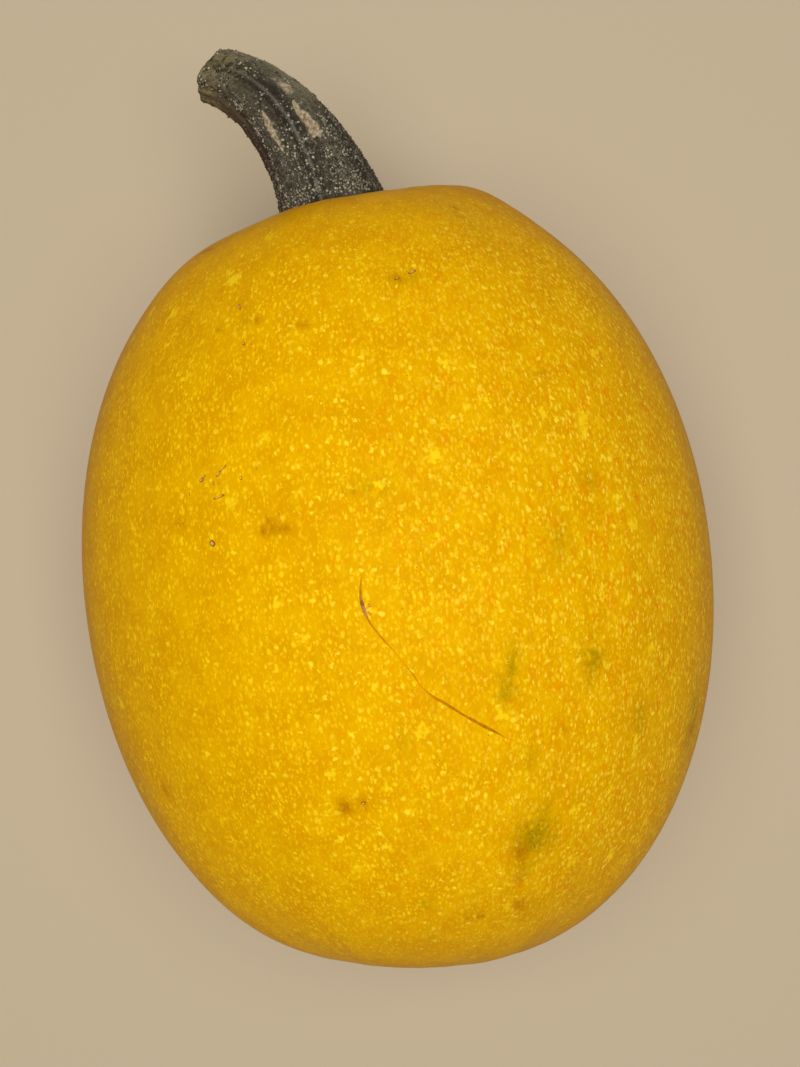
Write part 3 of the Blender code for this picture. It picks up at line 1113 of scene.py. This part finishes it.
def set_stalk_masks(mesh, share, angle, grain):
    """Stores where the ribs, furrows and flanks are, for the stalk's material."""
    radius = np.hypot(grain[:, 0], grain[:, 1])
    from_thin_rib = np.abs(from_furrow(angle)) * radius
    thin_rib = bell(from_thin_rib, THIN_RIB_WIDTH) * np.clip((THIN_RIB_END - share) / THIN_RIB_FADE, 0, 1)
    groove = bell(from_thin_rib - GROOVE_OFFSET, GROOVE_WIDTH)
    deepest_shade = bell(angle * radius - DEEP_GROOVE_OFFSET, DEEP_GROOVE_WIDTH)
    deepest_shade = deepest_shade * bell(share - DEEP_GROOVE_SHARE, DEEP_GROOVE_SPREAD)
    store(mesh, "crest", on_crest(angle))
    store(mesh, "thin_rib", thin_rib)
    # the painted shade of the furrows
    store(mesh, "groove", np.maximum(groove, deepest_shade))
    store(mesh, "inner_side", on_inner_side(share, angle))
    store(mesh, "outer_side", on_outer_side(share, angle))


def make_stalk():
    """The stalk, finer than its solid. Returns the places where it's scraped."""
    bm = bmesh.new()
    bmesh.ops.create_grid(bm, x_segments=STALK_SIDES, y_segments=STALK_ROWS, size=1)
    mesh = bpy.data.meshes.new("stalk_skin")
    bm.to_mesh(mesh)
    bm.free()
    sheet = coordinates(mesh)
    angle = (sheet[:, 0] + 1) * math.pi
    row = (sheet[:, 1] + 1) / 2
    share = np.interp(row, (SKIN_START, SKIN_END), (0, 1))
    outward = np.interp(row, (0, SKIN_START, SKIN_END, 1), (0, 1, 1, 0))
    points, grain = stalk_points(share, angle, outward)
    set_coordinates(mesh, points)
    scraped = scraped_places(surface_tree(mesh))
    store(mesh, "grain", grain)
    store(mesh, "share", share)
    store(mesh, "scraped", scraped_mask(scraped, points))
    store(mesh, "cut", (share == 1) * (1 - outward))
    set_stalk_masks(mesh, share, angle, grain)
    weld(mesh)
    add_piece("stalk_skin", mesh, make_stalk_material(), replaces="stalk")
    return scraped


# What grows on the stalk: places are shares of its length, and 1 is as thick as it gets
BARE_SHARE = 0.11  # nothing grows below this share, which is inside the fruit or just above it
GROWTH_END = 0.99
BASE_SPREAD = 0.30
FLANK_BARENESS = 0.8
INNER_EDGE = math.radians(308)  # the angle at which the smooth inner flank ends in a row of knobs
INNER_EDGE_WIDTH = 0.13
CLUSTER_SIZE = 0.0032
CLUSTER_MIDDLE = 0.42
CLUSTER_BASE = 0.8
CLUSTER_CONTRAST = 1.4
CLUSTER_LEAST = 0.06
SCRAPED_LIMIT = 0.25  # nothing grows where the stalk is scraped more than this
ABOVE_SKIN = 1.05  # a point this far out, as a share of the radius, gives the way outwards


def stalk_places(tries, scraped, seed, crest_weight, base_weight):
    """Seeded random places on the stalk: in clusters, more on the crests and towards the fruit."""
    draw = np.random.default_rng(seed)
    share = draw.uniform(BARE_SHARE, GROWTH_END, tries)
    angle = draw.uniform(0, 2 * math.pi, tries)
    near_base = bell(share - BARE_SHARE, BASE_SPREAD)
    flank = np.maximum(on_inner_side(share, angle), on_outer_side(share, angle))
    weight = 1 - crest_weight + crest_weight * on_crest(angle)
    weight = weight * (1 - base_weight + base_weight * near_base)
    weight = weight * (1 - FLANK_BARENESS * flank)
    weight = np.maximum(weight, bell(angle - INNER_EDGE, INNER_EDGE_WIDTH))
    foot, grain = stalk_points(share, angle, np.ones_like(share))
    clusters = CLUSTER_MIDDLE + CLUSTER_BASE * near_base
    clusters = clusters + CLUSTER_CONTRAST * noise_at(grain * (1, 1, 0.6), CLUSTER_SIZE, seed=7.0)
    clusters = np.clip(clusters, CLUSTER_LEAST, 1)
    clusters = clusters * (scraped_mask(scraped, foot) < SCRAPED_LIMIT)
    kept = draw.uniform(0, 1, tries) < weight * clusters
    share, angle, foot = share[kept], angle[kept], foot[kept]
    above, _ = stalk_points(share, angle, np.full_like(share, ABOVE_SKIN))
    outward = (above - foot) / lengths(above - foot)
    _, forward, _, _ = stalk_frame(share)
    return foot, outward, forward, draw


def make_growth_material(name, foot_colour, tip_colour):
    """The colour goes from the foot of each bristle or pimple to its tip."""
    m = Maker(name)
    place = m.place()
    rising = m.times(m.step(m.attribute("inward"), 0.0, 0.55), m.attribute("strength"))
    rising = m.times(rising, m.step(m.cloud(place, 0.0030, 3.0), 0.28, 0.60))
    return m.finish(m.blend(rising, foot_colour, tip_colour), roughness=0.8, shine=0.3)


BRISTLE_TRIES = 11000
BRISTLE_LEAN = (-0.3, 0.9)
BRISTLE_SCATTER = 0.35
BRISTLE_RADII = (0.00005, 0.00010)
BRISTLE_HEIGHTS = (0.0003, 0.0009)
BRISTLE_SHAPE = {"profile": ((1.0, -0.3),), "middle": 1.0, "sides": 3}


def make_bristles(scraped):
    """Short stiff hairs, leaning every way but mostly towards the tip."""
    places = stalk_places(BRISTLE_TRIES, scraped, seed=21, crest_weight=0.5, base_weight=0.6)
    foot, outward, forward, draw = places
    count = len(foot)
    axes = outward + forward * draw.uniform(*BRISTLE_LEAN, (count, 1))
    axes += draw.normal(0, BRISTLE_SCATTER, (count, 3))
    axes /= lengths(axes)
    radii = np.repeat(draw.uniform(*BRISTLE_RADII, (count, 1)), 2, axis=1)
    heights = draw.uniform(*BRISTLE_HEIGHTS, count)
    strengths = draw.uniform(0.1, 1.0, count)
    sideways = draw.normal(size=(count, 3))
    mesh = bump_mesh("stalk_bristles", foot, axes, sideways, radii, heights, strengths, **BRISTLE_SHAPE)
    material = make_growth_material("bristle", tone(84, 76, 60), tone(206, 200, 184))
    add_piece("stalk_bristles", mesh, material)


PIMPLE_TRIES = 17000
PIMPLE_SCATTER = 0.2
PIMPLE_RADII = (0.00014, 0.00046)
PIMPLE_STRETCHES = (0.8, 1.3)
PIMPLE_HEIGHTS = (0.00014, 0.00042)
PIMPLE_SHAPE = {"profile": ((1.0, -0.8), (0.8, 0.5)), "middle": 1.0, "sides": 6}


def make_pimples(scraped):
    """Small hard knobs, thickest near the fruit, with worn pale tops."""
    places = stalk_places(PIMPLE_TRIES, scraped, seed=22, crest_weight=0.4, base_weight=0.85)
    foot, outward, _, draw = places
    count = len(foot)
    axes = outward + draw.normal(0, PIMPLE_SCATTER, (count, 3))
    axes /= lengths(axes)
    radii = draw.uniform(*PIMPLE_RADII, (count, 1)) * draw.uniform(*PIMPLE_STRETCHES, (count, 2))
    heights = draw.uniform(*PIMPLE_HEIGHTS, count)
    strengths = draw.uniform(0.0, 1.0, count)
    sideways = draw.normal(size=(count, 3))
    mesh = bump_mesh("stalk_pimples", foot, axes, sideways, radii, heights, strengths, **PIMPLE_SHAPE)
    material = make_growth_material("pimple", tone(52, 45, 31), tone(202, 192, 166))
    add_piece("stalk_pimples", mesh, material)


# The surroundings

FLOOR_SIZE = 6
DAYLIGHT_STRENGTH = 0.07


def add_camera():
    data = bpy.data.cameras.new("camera")
    data.sensor_width = SENSOR
    data.lens = FOCAL_PIXELS * SENSOR / PHOTO_HEIGHT
    data.clip_start = 0.01
    camera = bpy.data.objects.new("camera", data)
    camera.location = CAMERA_PLACE
    camera.rotation_euler = (0, 0, -CAMERA_ROLL)
    bpy.context.scene.collection.objects.link(camera)
    bpy.context.scene.camera = camera


def add_light(name, place, size, power, colour):
    """A square soft light that faces the fruit."""
    data = bpy.data.lights.new(name, "AREA")
    data.size = size
    data.energy = power
    data.color = colour
    light = bpy.data.objects.new(name, data)
    light.location = place
    aim = Vector((0, 0, AXIS_HEIGHT)) - Vector(place)
    light.rotation_euler = aim.to_track_quat("-Z", "Y").to_euler()
    bpy.context.scene.collection.objects.link(light)


def add_floor():
    bpy.ops.mesh.primitive_plane_add(size=FLOOR_SIZE)
    floor = bpy.context.object
    floor.name = "floor"
    material = Maker("floor").finish(tone(206, 188, 159), roughness=0.7, shine=0.2)
    floor.data.materials.append(material)


def add_daylight():
    world = bpy.data.worlds.new("daylight")
    world.use_nodes = True
    background = world.node_tree.nodes["Background"]
    background.inputs["Color"].default_value = (1.0, 0.99, 0.97, 1.0)
    background.inputs["Strength"].default_value = DAYLIGHT_STRENGTH
    bpy.context.scene.world = world
    bpy.context.scene.view_settings.view_transform = "Standard"


add_camera()
add_daylight()
add_light("overhead", place=(0.0, 0.03, 1.60), size=1.3, power=28.4, colour=(1.0, 0.985, 0.95))
add_floor()
rind_tree = make_fruit()
make_scratches(rind_tree)
make_marks(rind_tree)
scraped_streaks = make_stalk()
make_bristles(scraped_streaks)
make_pimples(scraped_streaks)
